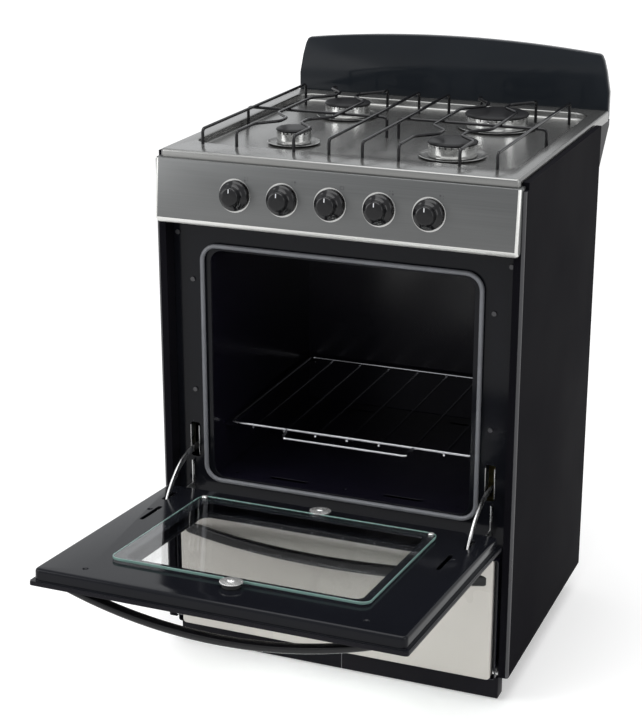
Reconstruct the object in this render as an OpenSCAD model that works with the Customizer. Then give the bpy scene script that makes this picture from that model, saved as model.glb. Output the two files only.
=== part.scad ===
// Free-standing four-burner gas cooker with its oven door open.
// X is the width, Y runs from the front to the back, Z is up; the origin is the bottom centre.

/* [Body] */
// Width over the side panels
body_w = 560; // [540:1:620]
// Depth of the side panels, without doors and rear duct
body_d = 431; // [420:1:500]
// Height of the hob's top face
hob_h = 802; // [790:1:900]
// Height of the side panels' lower edge above the floor
skirt_z = 46; // [40:1:60]
// Thickness of the steel sheet
sheet = 1.2; // [0.8:0.1:1.6]
// How far the front frame stands back from the side panels' front edge
frame_in = 24; // [22:1:30]
// Width of the folded front edge of a side panel
edge_w = 15; // [12:1:20]
// Outer radius of the side panels' front fold
fold_r = 6; // [3:0.5:8]

/* [Plinth and feet] */
// Height of the plinth
plinth_h = 38; // [30:1:39]
// Plinth face behind the front edge
plinth_in = 12; // [12:1:20]
// Seam between the two plinth boards, right of the middle
plinth_seam_x = 11; // [-60:1:60]
// Diameter of a levelling foot
foot_d = 34; // [24:1:40]

/* [Hob] */
// Width of the hob
hob_w = 541; // [520:1:548]
// Depth of the hob
hob_d = 526; // [500:1:560]
// Height of the hob's side edge
hob_edge_h = 16; // [12:1:22]
// Depth of the pressed pan
pan_depth = 12; // [2:0.5:14]
// Width of the pressed pan
pan_w = 494; // [480:1:500]
// Plain band in front of the pan
pan_front = 62; // [50:1:80]
// Plain band behind the pan
pan_rear = 38; // [20:1:40]
// Corner radius of the pan
pan_r = 26; // [12:1:40]
// Distance of a burner from the middle
burner_x = 125; // [115:1:130]
// Front burners behind the front edge
burner_front_y = 157; // [150:1:165]
// Rear burners behind the front edge
burner_rear_y = 382; // [370:1:390]
// Cap diameter of the small burner
cap_small = 54; // [50:1:60]
// Cap diameter of the two middle burners
cap_middle = 74; // [66:1:80]
// Cap diameter of the large burner
cap_large = 100; // [90:1:110]

/* [Pan supports] */
// Wire diameter
wire_d = 5; // [4:0.5:7]
// Height of the wire's centre line above the pan
support_h = 35; // [22:1:40]
// Outer bars of a support, from bar to bar
support_w = 199; // [190:1:205]
// Front bars behind the front edge
support_y = 48; // [44:1:60]
// Length of a support
support_len = 398; // [380:1:410]

/* [Control panel] */
// Height of the sloping face
panel_h = 96.6; // [90:0.1:110]
// Width of the control panel
panel_w = 540; // [520:1:548]
// Lower edge of the panel, in front of the side panels
panel_out = 17.4; // [14:0.1:24]
// Lean of the face from upright
panel_lean = 5.7; // [0:0.1:8]
// Distance from knob to knob
knob_pitch = 73.3; // [65:0.1:76]
// Knob centres above the panel's lower edge
knob_up = 51; // [44:1:56]
// Knob diameter
knob_d = 44; // [36:1:48]
// Travel of a knob when it is pressed
knob_press = 3; // [2:0.5:4]

/* [Oven] */
// Width inside the oven
oven_w = 410; // [380:1:416]
// Depth of the oven behind its frame
oven_d = 384; // [360:1:386]
// Height of the mouth's lower edge
mouth_z = 287; // [280:1:300]
// Height of the mouth
mouth_h = 363; // [330:1:365]
// Corner radius of the mouth
mouth_r = 20; // [12:1:30]
// Depth of the burner space below the oven floor
burner_space = 35; // [30:1:36]
// Height of the rack above the oven floor
rack_up = 76; // [60:1:120]

/* [Oven door] */
// Width of the door
door_w = 536; // [526:1:544]
// Height of the door
door_h = 415; // [380:1:416]
// Height of the closed door's lower edge
door_z = 277.3; // [276:0.1:282]
// Angle at which the door stands open
door_open = 85; // [60:1:90]
// Depth of the pressed inner panel
door_deep = 18; // [14:1:19]
// Width of the window in the outer panel
window_w = 340; // [300:1:350]
// Height of the window in the outer panel
window_h = 240; // [200:1:250]
// Width of the inner glass
glass_w = 374; // [360:1:390]
// Height of the inner glass
glass_h = 291; // [280:1:300]
// Thickness of the glass
glass_t = 4; // [3:0.5:5]
// Air between the inner panel and the inner glass
glass_up = 2; // [0.5:0.5:2.5]
// Distance between the ends of the door handle
handle_w = 440; // [380:1:460]
// How far the handle's middle stands off the door
handle_out = 40; // [30:1:45]

/* [Lower door] */
// Height of the lower door
lower_h = 198; // [180:1:200]
// Distance between the ends of the lower handle
lower_handle_w = 488; // [400:1:496]

/* [Back] */
// Height of the backguard above the hob, in the middle
guard_h = 103; // [90:1:120]
// Width of the backguard
guard_w = 536; // [520:1:540]
// Thickness of the backguard
guard_t = 15; // [12:1:20]

/* [Hidden] */
$fn = 48;

gap = 0.3;                  // between pieces that rest on or beside each other
big = 1000;                 // longer than anything it cuts

half_w = body_w / 2;
inner_x = half_w - edge_w;                    // inside of the folded front edges
hob_y0 = -1;                                  // front of the hob
hob_y1 = hob_y0 + hob_d;
side_top = hob_h - hob_edge_h;
pan_z = hob_h - pan_depth;                    // top face of the pan
pan_y0 = hob_y0 + pan_front;
pan_y1 = hob_y1 - pan_rear;

panel_z = hob_h - 11 - panel_h * cos(panel_lean) - gap;   // lower edge of the control panel
frame_y = frame_in;                           // front face of the front frame
frame_top = panel_z - gap;

knob_xs = [for (i = [-2:2]) i * knob_pitch];
stem_d = 8;
bezel_t = 1;
manifold_d = 16;
manifold_y = 76;                              // along the knobs' axis, behind the face
manifold_up = knob_up;

oven_y0 = frame_y + sheet + gap;
oven_y1 = oven_y0 + oven_d;
oven_floor = mouth_z - burner_space;
mouth_mid = mouth_z + mouth_h / 2;
rack_z = mouth_z + rack_up;
rack_wire = 5;
rack_y0 = 69;
gasket_d = 8;
gasket_out = 8;                               // gasket's centre line outside the mouth

axis_y = -0.9;                                // oven door hinge
axis_z = door_z - 12;
arm_x = 236;
slot_w = 16;
feed_y = 112;                                 // gas feed of the oven burner
feed_z = oven_floor + 16;
slot_z0 = axis_z + 51;
slot_z1 = axis_z + 107;
pin_d = 6;
pin_run = 0.05;                               // radial running clearance of a pin

door_face = -3;                               // plane between the door's outer and inner panel
skin_t = 5;
inner_margin = 9.3;                           // flange beside the pressed inner panel
inner_z0 = door_z + 12;
inner_z1 = door_z + door_h - 13;
inner_face = door_face + door_deep;
window_mid = door_z + 196;
glass_mid = door_z + 195;
handle_z = door_z + door_h - 20;

lower_gap = 3;
lower_w = 2 * (inner_x - lower_gap);
lower_z = skirt_z - 6.4;
lower_face = -4;
lower_deep = 13;
lower_axis_y = 2;
lower_axis_z = lower_z + 12.4;
lower_handle_z = lower_z + 166;

duct_y1 = hob_y1 + guard_t + gap;             // rear of the duct and of the backguard
duct_bend_z = hob_h - 26;
duct_low_z = hob_h - 140;

storage_z0 = skirt_z + 6;
storage_z1 = lower_z + lower_h - 10;

// The open door's far edge and the duct's rear face are equally far from the origin.
door_reach = axis_y - (door_z + door_h - axis_z) * sin(door_open)
    + (door_face - skin_t - axis_y) * cos(door_open);
origin_y = -(door_reach + duct_y1) / 2;

// Placing and shape helpers

// Body coordinates: Y is 0 at the side panels' front edge.
module in_body() { translate([0, origin_y, 0]) children(); }

// The oven door's pieces are drawn closed and turned about the hinge.
module on_door() {
    in_body() translate([0, axis_y, axis_z]) rotate([door_open, 0, 0])
        translate([0, -axis_y, -axis_z]) children();
}

// Control panel coordinates: Y is 0 on the sloping face, Z is 0 at its lower edge.
module on_panel() { in_body() translate([0, -panel_out, panel_z]) rotate([-panel_lean, 0, 0]) children(); }

module block(low, high) { translate(low) cube(high - low); }

module both_sides() { children(); mirror([1, 0, 0]) children(); }

module rounded(w, h, r) {
    square([w - 2 * r, h], center = true);
    square([w, h - 2 * r], center = true);
    for (x = [-1, 1], y = [-1, 1]) translate([x * (w / 2 - r), y * (h / 2 - r)]) circle(r);
}

// A flat outline in X and Z, standing up and reaching from y to y + t.
module standing(y, t) { translate([0, y + t, 0]) rotate([90, 0, 0]) linear_extrude(t) children(); }

// A flat outline in Y and Z, reaching from x to x + t.
module sideways(x, t) { translate([x, 0, 0]) rotate([90, 0, 90]) linear_extrude(t) children(); }

module rod(a, b, d) {
    v = b - a;
    translate(a) rotate([0, acos(v.z / norm(v)), atan2(v.y, v.x)]) cylinder(h = norm(v), d = d);
}

// A bent wire: straight rods with a slightly thicker ball in each bend.
module wire(points, d, ball = 1.06) {
    $fn = 16;
    for (i = [0:len(points) - 2]) rod(points[i], points[i + 1], d);
    if (len(points) > 2) for (i = [1:len(points) - 2]) translate(points[i]) sphere(d = d * ball);
}

// A shallow bow: a ring sector of rectangular section, thicker by width in Z.
module bow(span, rise, thick, width) {
    r = (span * span / 4 + rise * rise) / (2 * rise);
    a = asin(span / 2 / r);
    translate([0, r - rise, 0]) rotate([0, 0, -90 - a]) rotate_extrude(angle = 2 * a, $fn = 180)
        translate([r, 0]) square([thick, width], center = true);
}

// Body

module side_profile() {
    difference() {
        union() {
            translate([half_w - edge_w, fold_r]) square([edge_w, body_d - fold_r]);
            translate([half_w - edge_w, 0]) square([edge_w - fold_r, fold_r + 1]);
            translate([half_w - fold_r, fold_r]) circle(fold_r);
        }
        translate([half_w - edge_w + sheet, fold_r]) square([edge_w - 2 * sheet, body_d - fold_r - sheet]);
        translate([half_w - edge_w + sheet, sheet]) square([edge_w - fold_r - sheet, fold_r]);
        translate([half_w - fold_r, fold_r]) circle(fold_r - sheet);
        translate([half_w - edge_w - 1, frame_y + 3]) square([sheet + 1.01, body_d - frame_y - 3 - sheet]);
    }
}

module side_panel() {
    in_body() {
        translate([0, 0, skirt_z]) linear_extrude(side_top - skirt_z) side_profile();
        block([inner_x + sheet, fold_r, side_top - sheet], [half_w - sheet / 2, body_d - sheet / 2, side_top]);
    }
}

module side_panel_right() color("#101012") side_panel();
module side_panel_left() color("#101012") mirror([1, 0, 0]) side_panel();

module back_panel() color("#3a3b3d") in_body() difference() {
    block([-half_w + edge_w + gap, body_d - sheet, skirt_z], [half_w - edge_w - gap, body_d, side_top - gap]);
    standing(body_d - sheet - 1, sheet + 2) {
        translate([inlet_x, inlet_z]) circle(d = manifold_d + 2);
        translate([0, flue_z]) square([flue_w + 1, flue_h + 1], center = true);
        for (i = [-4:4]) translate([i * 30, storage_z0 + 90]) rounded(12, 50, 5.9);
    }
}

base_y0 = frame_y + sheet + gap;
module base_plate() color("#3a3b3d") in_body() {
    block([-inner_x + gap, base_y0, skirt_z], [inner_x - gap, body_d - sheet - gap, skirt_z + sheet]);
}

module front_frame() color("#0c0c0e") in_body() {
    difference() {
        union() {
            block([-inner_x + gap, frame_y, skirt_z], [inner_x - gap, frame_y + sheet, frame_top]);
            block([-inner_x + gap, frame_y, frame_top - sheet], [inner_x - gap, frame_y + 30, frame_top]);
        }
        standing(frame_y - 1, sheet + 2) {
            translate([0, mouth_mid]) rounded(oven_w, mouth_h, mouth_r);
            translate([0, (storage_z0 + storage_z1) / 2])
                rounded(lower_w - 24, storage_z1 - storage_z0, 10);
            for (s = [-1, 1]) translate([s * arm_x, (slot_z0 + slot_z1) / 2])
                rounded(slot_w, slot_z1 - slot_z0, 4);
        }
    }
}

plinth_w = 2 * (inner_x - lower_gap);
module plinth_board(x0, x1) {
    in_body() {
        block([x0, plinth_in, 3], [x1, plinth_in + sheet, plinth_h]);
        block([x0, plinth_in, plinth_h - sheet], [x1, plinth_in + 24, plinth_h]);
        block([x0, plinth_in + 24 - sheet, plinth_h - sheet], [x1, plinth_in + 24, skirt_z - gap]);
    }
}
module plinth_left() color("#34343a") {
    plinth_board(-plinth_w / 2, plinth_seam_x - gap);
    in_body() block([-plinth_w / 2, plinth_in, 3], [-plinth_w / 2 + sheet, plinth_in + 24, plinth_h]);
}
module plinth_right() color("#34343a") {
    plinth_board(plinth_seam_x, plinth_w / 2);
    in_body() block([plinth_w / 2 - sheet, plinth_in, 3], [plinth_w / 2, plinth_in + 24, plinth_h]);
}

foot_x = 205;
foot_ys = [58, body_d - 50];
module feet() color("#151515") in_body() for (x = [-foot_x, foot_x], y = foot_ys) translate([x, y, 0]) {
    cylinder(h = 14, d = foot_d);
    cylinder(h = skirt_z, d = 10);
    translate([0, 0, skirt_z - 8]) cylinder(h = 8, d = 18, $fn = 6);
}

// Hob and controls

burner_spots = [[-burner_x, burner_front_y], [burner_x, burner_front_y],
                [-burner_x, burner_rear_y], [burner_x, burner_rear_y]];
cap_sizes = [cap_small, cap_middle, cap_middle, cap_large];
cup_d = 30;

module at_burner(i) { in_body() translate([burner_spots[i].x, burner_spots[i].y, pan_z]) children(); }

module hob_top() color("#b9bbbd") in_body() {
    mid_y = (hob_y0 + hob_y1) / 2;
    pan_mid = (pan_y0 + pan_y1) / 2;
    difference() {
        union() {
            difference() {
                translate([0, mid_y, side_top + gap]) linear_extrude(hob_edge_h - gap) rounded(hob_w, hob_d, 6);
                translate([0, mid_y, side_top - 1]) linear_extrude(hob_edge_h + 1 - sheet)
                    rounded(hob_w - 2 * sheet, hob_d - 2 * sheet, 6 - sheet);
                block([-big, hob_y0 - 1, side_top - 1], [big, hob_y0 + 9, hob_h - 11]);
            }
            translate([0, pan_mid, pan_z - sheet]) linear_extrude(hob_h - pan_z + sheet / 2)
                rounded(pan_w + 2 * sheet, pan_y1 - pan_y0 + 2 * sheet, pan_r + sheet);
        }
        translate([0, pan_mid, pan_z]) linear_extrude(pan_depth + 1) rounded(pan_w, pan_y1 - pan_y0, pan_r);
        for (p = burner_spots) translate([p.x, p.y, pan_z - 5]) cylinder(h = 10, d = cup_d + 1);
    }
}

roll_r = 8;                                   // rolled lower edge of the control panel
roll_yz = [-panel_out + roll_r * (1 + sin(panel_lean)) / cos(panel_lean), panel_z + roll_r];
module panel_section(t, past) {
    n = [cos(panel_lean), -sin(panel_lean)];
    top = tilt(t, panel_h + past);
    translate(roll_yz) circle(roll_r - t);
    polygon([roll_yz - (roll_r - t) * n, top, [body_d, top[1]], [body_d, panel_z + t], [roll_yz[0], panel_z + t]]);
}

module control_panel() color("#8f9294") difference() {
    in_body() difference() {
        sideways(-panel_w / 2, panel_w) panel_section(0, 0);
        sideways(-panel_w / 2 - 1, panel_w + 2) panel_section(sheet, 5);
        block([-big, frame_y + 6, 0], [big, big, big]);
        both_sides() {
            block([inner_x - 1, -gap, 0], [big, big, big]);
            standing(-50, 50) difference() {
                translate([panel_w / 2 - 6, panel_z - 1]) square([7, 7]);
                translate([panel_w / 2 - 6, panel_z + 6]) circle(6);
            }
        }
    }
    on_panel() for (x = knob_xs) translate([x, -1, knob_up]) rotate([-90, 0, 0]) cylinder(h = 4, d = stem_d + 4);
}

knob_grip_d = 28;                             // raised middle of a knob
knob_back = bezel_t + gap + knob_press;       // gap behind a knob at rest, from the panel's face
module knob(i) {
    on_panel() translate([knob_xs[i], 0, knob_up]) rotate([90, 0, 0]) difference() {
        union() {
            translate([0, 0, knob_back]) cylinder(h = 3.5, d = knob_d);
            translate([0, 0, knob_back + 3.5]) cylinder(h = 5, d1 = knob_d - 1, d2 = knob_grip_d + 2, $fn = 64);
            translate([0, 0, knob_back + 8]) cylinder(h = 11, d = knob_grip_d);
        }
        cylinder(h = knob_back + 13, r = stem_d / 2 + pin_run);
    }
}
module knob_1() color("#0b0b0c") knob(0);
module knob_2() color("#0b0b0c") knob(1);
module knob_3() color("#0b0b0c") knob(2);
module knob_4() color("#0b0b0c") knob(3);
module knob_5() color("#0b0b0c") knob(4);

module valve_stem(i) {
    on_panel() translate([knob_xs[i], 0, manifold_up]) rotate([90, 0, 0])
        translate([0, 0, -42]) cylinder(h = 42 + knob_back + 12.7, d = stem_d);
}
module valve_stem_1() color("#c8a95a") valve_stem(0);
module valve_stem_2() color("#c8a95a") valve_stem(1);
module valve_stem_3() color("#c8a95a") valve_stem(2);
module valve_stem_4() color("#c8a95a") valve_stem(3);
module valve_stem_5() color("#c8a95a") valve_stem(4);

module knob_bezels() color("#d5d6d8") on_panel() for (x = knob_xs)
    translate([x, 0, knob_up]) rotate([90, 0, 0]) difference() {
        cylinder(h = bezel_t, d = knob_d + 5);
        translate([0, 0, -1]) cylinder(h = 4, d = stem_d + 4);
    }

valve_front = 33;
module gas_valves() color("#c8a95a") on_panel() for (x = knob_xs) translate([x, 0, manifold_up]) difference() {
    union() {
        translate([0, valve_front, 0]) rotate([-90, 0, 0]) cylinder(h = manifold_y - manifold_d / 2 - gap - valve_front, d = 24);
        translate([0, valve_front + 14, 0]) cylinder(h = 26, d = 12);
    }
    translate([0, valve_front - 1, 0]) rotate([-90, 0, 0])
        cylinder(h = 42 - valve_front + knob_press + 2, r = stem_d / 2 + pin_run);
}

inlet_x = 251;
inlet_z = 600;
inlet_r = 10.5;
function tilt(y, z) = [-panel_out + y * cos(panel_lean) + z * sin(panel_lean),
                       panel_z - y * sin(panel_lean) + z * cos(panel_lean)];
manifold_yz = tilt(manifold_y, manifold_up);
module gas_manifold() color("#77797c") in_body() {
    y0 = manifold_yz[0];
    z0 = manifold_yz[1];
    wire([[-knob_pitch * 2 - 20, y0, z0], [inlet_x, y0, z0], [inlet_x, body_d - 22, z0],
          [inlet_x, body_d - 22, inlet_z], [inlet_x, body_d + 8, inlet_z]], manifold_d);
    translate([inlet_x, body_d + 8, inlet_z]) rotate([-90, 0, 0]) cylinder(h = 6, d = 27, $fn = 6);
    translate([inlet_x, body_d + 14, inlet_z]) rotate([-90, 0, 0]) cylinder(h = 18, r = inlet_r);
}

cup_low = pan_z - 46;
module burner_cups() color("#9a9c9e") for (i = [0:3]) at_burner(i) difference() {
    union() {
        translate([0, 0, -46]) cylinder(h = 46 - sheet - gap, d = cup_d);
        translate([0, 0, -3.5 - sheet]) cylinder(h = 3.2, d = cup_d + 20);
    }
    translate([0, 0, -42]) cylinder(h = 60, d = cup_d - 6);
}

// Valve each burner's tube starts from; the middle valve feeds the oven.
tube_from = [1, 3, 0, 4];
tube_d = 6;
module gas_tubes() color("#b9b2a4") in_body() {
    boss = tilt(valve_front + 14, manifold_up + 26);
    z0 = boss[1] + 0.6;
    z1 = z0 + 8;
    low = cup_low + 14;
    for (i = [0, 1]) {
        p = burner_spots[i];
        x = knob_xs[tube_from[i]];
        wire([[x, boss[0], z0], [x, boss[0], z1], [p.x, p.y - 45, low], [p.x, p.y - cup_d / 2 - gap, low]], tube_d, 1.3);
    }
    for (i = [2, 3]) {
        p = burner_spots[i];
        s = sign(p.x);
        x = knob_xs[tube_from[i]];
        out = burner_x + cup_d / 2 + 30;
        wire([[x, boss[0], z0], [x, boss[0], z1], [s * out, boss[0] + 60, low], [s * out, p.y, low],
              [s * (burner_x + cup_d / 2 + gap), p.y, low]], tube_d, 1.3);
    }
    side_x = inner_x - 12;
    wire([[0, boss[0], z0], [0, boss[0], z1 + 10], [-side_x, boss[0] + 5, z1 + 10], [-side_x, feed_y, z1 - 35],
          [-side_x, feed_y, feed_z], [-oven_w / 2 - sheet - 2, feed_y, feed_z]], tube_d, 1.3);
}

crown_top = support_h - 15;                   // above the pan; the caps stay below the supports' bars
module burner_crowns() color("#c9cbcc") for (i = [0:3]) at_burner(i) difference() {
    d = cap_sizes[i];
    union() {
        translate([0, 0, 2.6]) cylinder(h = crown_top - 2.6, d = d - 2);
        translate([0, 0, -14]) cylinder(h = 20, d = cup_d - 8);
    }
    translate([0, 0, -15]) cylinder(h = 22, d = cup_d - 14);
    translate([0, 0, 6.5]) cylinder(h = crown_top, d = d - 14);
    for (a = [0:15:345]) rotate([0, 0, a]) translate([d / 2 - 9, -0.9, crown_top - 3.4]) cube([12, 1.8, 5]);
}

module burner_cap(i) {
    d = cap_sizes[i];
    at_burner(i) {
        translate([0, 0, crown_top + 0.2]) cylinder(h = 3.2, d = d);
        translate([0, 0, crown_top + 3.4]) cylinder(h = 1.6, d1 = d, d2 = d - 5, $fn = 64);
        translate([0, 0, crown_top - 3]) difference() { cylinder(h = 4, d = d - 16); translate([0, 0, -1]) cylinder(h = 4, d = d - 20); }
    }
}
module burner_cap_front_left() color("#1a1a1c") burner_cap(0);
module burner_cap_front_right() color("#1a1a1c") burner_cap(1);
module burner_cap_rear_left() color("#1a1a1c") burner_cap(2);
module burner_cap_rear_right() color("#1a1a1c") burner_cap(3);

module burner_saucers() color("#dedfe0") for (i = [0:3]) at_burner(i) {
    d = cap_sizes[i];
    difference() {
        translate([0, 0, 0.2]) union() {
            cylinder(h = 1.2, d = d + 10);
            translate([0, 0, 1.1]) cylinder(h = 2.2, d1 = d + 20, d2 = d + 26, $fn = 64);
        }
        translate([0, 0, 1.4]) cylinder(h = 5, d1 = d + 16, d2 = d + 24, $fn = 64);
        translate([0, 0, -1]) cylinder(h = 9, d = cup_d - 6);
    }
}

// A pan support: two straight bars, two bars that step in beside each burner, and a cross bar.
module grate() {
    top = pan_z + support_h;
    foot = pan_z + 0.2;
    front_foot = hob_h + 0.2;      // the front legs stand on the plain band
    y0 = support_y;
    y1 = support_y + support_len;
    side = support_w / 2;
    inner = 45;                    // straight run of an inner bar, from the burner's axis
    near = 17;                     // where it comes nearest
    in_body() {
        for (s = [-1, 1]) {
            wire([[s * side, y0, front_foot], [s * side, y0, top - 4], [s * side, y0 + 5, top],
                  [s * side, y1 - 5, top], [s * side, y1, top - 4], [s * side, y1, foot]], wire_d);
            wire([[s * inner, y0, front_foot], [s * inner, y0, top - 4], [s * inner, y0 + 5, top],
                  [s * inner, burner_front_y - 45, top], [s * near, burner_front_y - 13, top],
                  [s * near, burner_front_y + 13, top], [s * inner, burner_front_y + 45, top],
                  [s * inner, burner_rear_y - 45, top], [s * near, burner_rear_y - 13, top],
                  [s * near, burner_rear_y + 13, top], [s * inner, burner_rear_y + 45, top],
                  [s * inner, y1 - 5, top], [s * inner, y1, top - 4], [s * inner, y1, foot]], wire_d);
        }
        cross_y = (burner_front_y + burner_rear_y) / 2 - 22;
        wire([[-side - 16, cross_y, foot], [-side - 16, cross_y, top - wire_d * 0.8 - 4],
              [-side - 12, cross_y, top - wire_d * 0.8], [side + 12, cross_y, top - wire_d * 0.8],
              [side + 16, cross_y, top - wire_d * 0.8 - 4], [side + 16, cross_y, foot]], wire_d);
    }
}
module grate_left() color("#202022") translate([-burner_x, 0, 0]) grate();
module grate_right() color("#202022") translate([burner_x, 0, 0]) grate();

// Backguard and the duct behind the body

module backguard() color("#0b0b0d") in_body() {
    w = guard_w / 2;
    top = hob_h + guard_h;
    arch_r = (pow(w - 16, 2) + 225) / 30;
    standing(hob_y1 + gap, guard_t) intersection() {
        polygon([for (s = [1, -1]) each (s > 0
            ? [[w, side_top], [w, top - 75], [w - 6, top - 43], [w - 11, top - 25], [w - 15, top - 17], [w - 21, top - 13], [w - 60, top + 1]]
            : [[-w + 60, top + 1], [-w + 21, top - 13], [-w + 15, top - 17], [-w + 11, top - 25], [-w + 6, top - 43], [-w, top - 75], [-w, side_top]])]);
        translate([0, top - arch_r]) circle(arch_r, $fn = 360);
    }
}

module rear_duct() color("#0b0b0d") in_body() {
    y0 = body_d + gap;
    side = [[y0, duct_low_z], [y0, side_top - gap], [duct_y1, side_top - gap], [duct_y1, duct_bend_z]];
    difference() {
        sideways(-guard_w / 2, guard_w) polygon(side);
        sideways(-guard_w / 2 + sheet, guard_w - 2 * sheet)
            polygon([[y0 - 1, duct_low_z + 2.2 * sheet], [y0 - 1, side_top + 1],
                     [duct_y1 - sheet, side_top + 1], [duct_y1 - sheet, duct_bend_z + sheet / 3]]);
    }
}

// Oven

module oven_liner() color("#0e0f12") in_body() {
    h = mouth_z + mouth_h - oven_floor;
    mid = oven_floor + h / 2;
    front = oven_y0 + sheet + gap;             // the wrapper starts behind the front flange
    difference() {
        standing(front, oven_y1 - gap - front) difference() {
            translate([0, mid]) rounded(oven_w + 2 * sheet, h + 2 * sheet, mouth_r + sheet);
            translate([0, mid]) rounded(oven_w, h, mouth_r);
        }
        block([-flue_w / 2 + sheet, flue_y1 - flue_deep + sheet, mouth_z + mouth_h - 1],
              [flue_w / 2 - sheet, flue_y1 - sheet, mouth_z + mouth_h + 5]);
        translate([-oven_w / 2, feed_y, feed_z]) rotate([0, 90, 0]) cylinder(h = 10, d = 16, center = true);
    }
    standing(oven_y1, sheet) translate([0, mid]) rounded(oven_w + 2 * sheet, h + 2 * sheet, mouth_r + sheet);
    both_sides() block([oven_w / 2 - 9, oven_y0 + 6, mouth_z - 2 * sheet - gap],
        [oven_w / 2 - gap, oven_y1 - 6, mouth_z - sheet - gap]);
    standing(oven_y0, sheet) difference() {
        translate([0, mid]) rounded(oven_w + 34, h + 20, mouth_r + 10);
        translate([0, mouth_mid]) rounded(oven_w, mouth_h, mouth_r);
    }
}

module oven_floor_plate() color("#17181b") in_body() difference() {
    block([-oven_w / 2 + gap, oven_y0 + 2, mouth_z - sheet], [oven_w / 2 - gap, oven_y1 - 2, mouth_z]);
    for (x = [-93, 93], y = [52, oven_y1 - 30]) translate([x, y, mouth_z - 3]) linear_extrude(6) rounded(62, 8, 3.9);
    for (x = [0, -180, 180]) translate([x, 52, mouth_z - 3]) cylinder(h = 6, d = 6);
}

module oven_burner() color("#8a8c8e") in_body() {
    z = oven_floor + 16;
    difference() {
        union() {
            wire([[0, oven_y0 + 50, z], [0, oven_y1 - 50, z]], 24);
            rod([-oven_w / 2 - sheet - 2 + gap, feed_y, z], [0, feed_y, z], 12);
            for (y = [oven_y0 + 50, oven_y1 - 50]) block([-15, y - 3, oven_floor + gap], [15, y + 3, z]);
        }
        for (s = [-1, 1], y = [130:20:oven_y1 - 60]) translate([s * 11, y, z]) cube([8, 2, 2], center = true);
    }
}

module oven_rack() color("#c9ccd0") in_body() {
    x = oven_w / 2 - 8.5;
    y1 = oven_y1 - 8;
    loop_x = 103;
    wire([[-x, rack_y0, rack_z], [x, rack_y0, rack_z], [x, y1, rack_z], [-x, y1, rack_z], [-x, rack_y0, rack_z]],
         rack_wire);
    translate([-x, rack_y0, rack_z]) sphere(d = rack_wire * 1.06, $fn = 16);
    for (i = [-3:3]) rod([i * 51.5 - 3, rack_y0 + 1, rack_z + 0.6], [i * 51.5 - 3, y1 - 1, rack_z + 0.6], rack_wire - 1.4, $fn = 16);
    wire([[-loop_x, rack_y0, rack_z], [-loop_x + 4, rack_y0 - 24, rack_z - 5], [loop_x - 4, rack_y0 - 24, rack_z - 5],
          [loop_x, rack_y0, rack_z]], rack_wire - 0.8);
}

module rack_rails() color("#0e0f12") in_body() both_sides() {
    top = rack_z - rack_wire / 2 - 0.2;
    block([oven_w / 2 - 14, 62, top - sheet], [oven_w / 2, oven_y1 - 4, top]);
    block([oven_w / 2 - sheet, 62, top - 12], [oven_w / 2, oven_y1 - 4, top]);
}

module gasket_corner() {
    rotate_extrude(angle = 90) translate([mouth_r, 0]) circle(d = gasket_d, $fn = 24);
}
module door_gasket() color("#7d7f80") in_body() {
    x = oven_w / 2 + gasket_out;
    h = mouth_h / 2 + 0.5;
    r = mouth_r;
    translate([0, frame_y - gasket_d / 2 - 0.1, mouth_mid + 1.5]) rotate([90, 0, 0]) {
        translate([x - r, h - r, 0]) gasket_corner();
        translate([-x + r, h - r, 0]) rotate([0, 0, 90]) gasket_corner();
        translate([-x + r, -h + r, 0]) rotate([0, 0, 180]) gasket_corner();
        translate([x - r, -h + r, 0]) rotate([0, 0, 270]) gasket_corner();
        for (s = [-1, 1]) {
            translate([-x + r, s * h, 0]) rotate([0, 90, 0]) cylinder(h = 2 * (x - r), d = gasket_d, $fn = 24);
            translate([s * x, -h + r, 0]) rotate([-90, 0, 0]) cylinder(h = 2 * (h - r), d = gasket_d, $fn = 24);
        }
    }
}

wool = 16;
module insulation() color("#d9cf8f") in_body() difference() {
    y0 = oven_y0 + 75;
    block([-oven_w / 2 - sheet - wool, y0, oven_floor + 30], [oven_w / 2 + sheet + wool, flue_y1 - flue_deep - 4, mouth_z + mouth_h + sheet + wool]);
    standing(y0 - 1, big) translate([0, (oven_floor - 40 + mouth_z + mouth_h) / 2])
        rounded(oven_w + 2 * sheet + 2 * gap, mouth_z + mouth_h - oven_floor + 40 + 2 * sheet + 2 * gap, mouth_r + sheet);
}

flue_w = 180;
flue_h = 24;
flue_deep = 30;
flue_z = duct_low_z + 55;
flue_y1 = oven_y1 - 6;
module oven_flue() color("#6a6c6e") in_body() {
    low = mouth_z + mouth_h + sheet + gap;
    y0 = flue_y1 - flue_deep;
    difference() {
        union() {
            block([-flue_w / 2, y0, low], [flue_w / 2, flue_y1, flue_z + flue_h / 2]);
            block([-flue_w / 2, y0, flue_z - flue_h / 2], [flue_w / 2, body_d + 3, flue_z + flue_h / 2]);
        }
        block([-flue_w / 2 + sheet, y0 + sheet, low - 1], [flue_w / 2 - sheet, flue_y1 - sheet, flue_z + flue_h / 2 - sheet]);
        block([-flue_w / 2 + sheet, y0 + sheet, flue_z - flue_h / 2 + sheet], [flue_w / 2 - sheet, body_d + 4, flue_z + flue_h / 2 - sheet]);
    }
}

// Oven door

module door_outer_panel() color("#141416") on_door() difference() {
    standing(door_face - skin_t, skin_t) translate([0, door_z + door_h / 2]) rounded(door_w, door_h, 5);
    standing(door_face - skin_t + sheet, skin_t) translate([0, door_z + door_h / 2])
        rounded(door_w - 2 * sheet, door_h - 2 * sheet, 5 - sheet);
    standing(door_face - skin_t - 1, 4) translate([0, window_mid]) rounded(window_w, window_h, 14);
}

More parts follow.
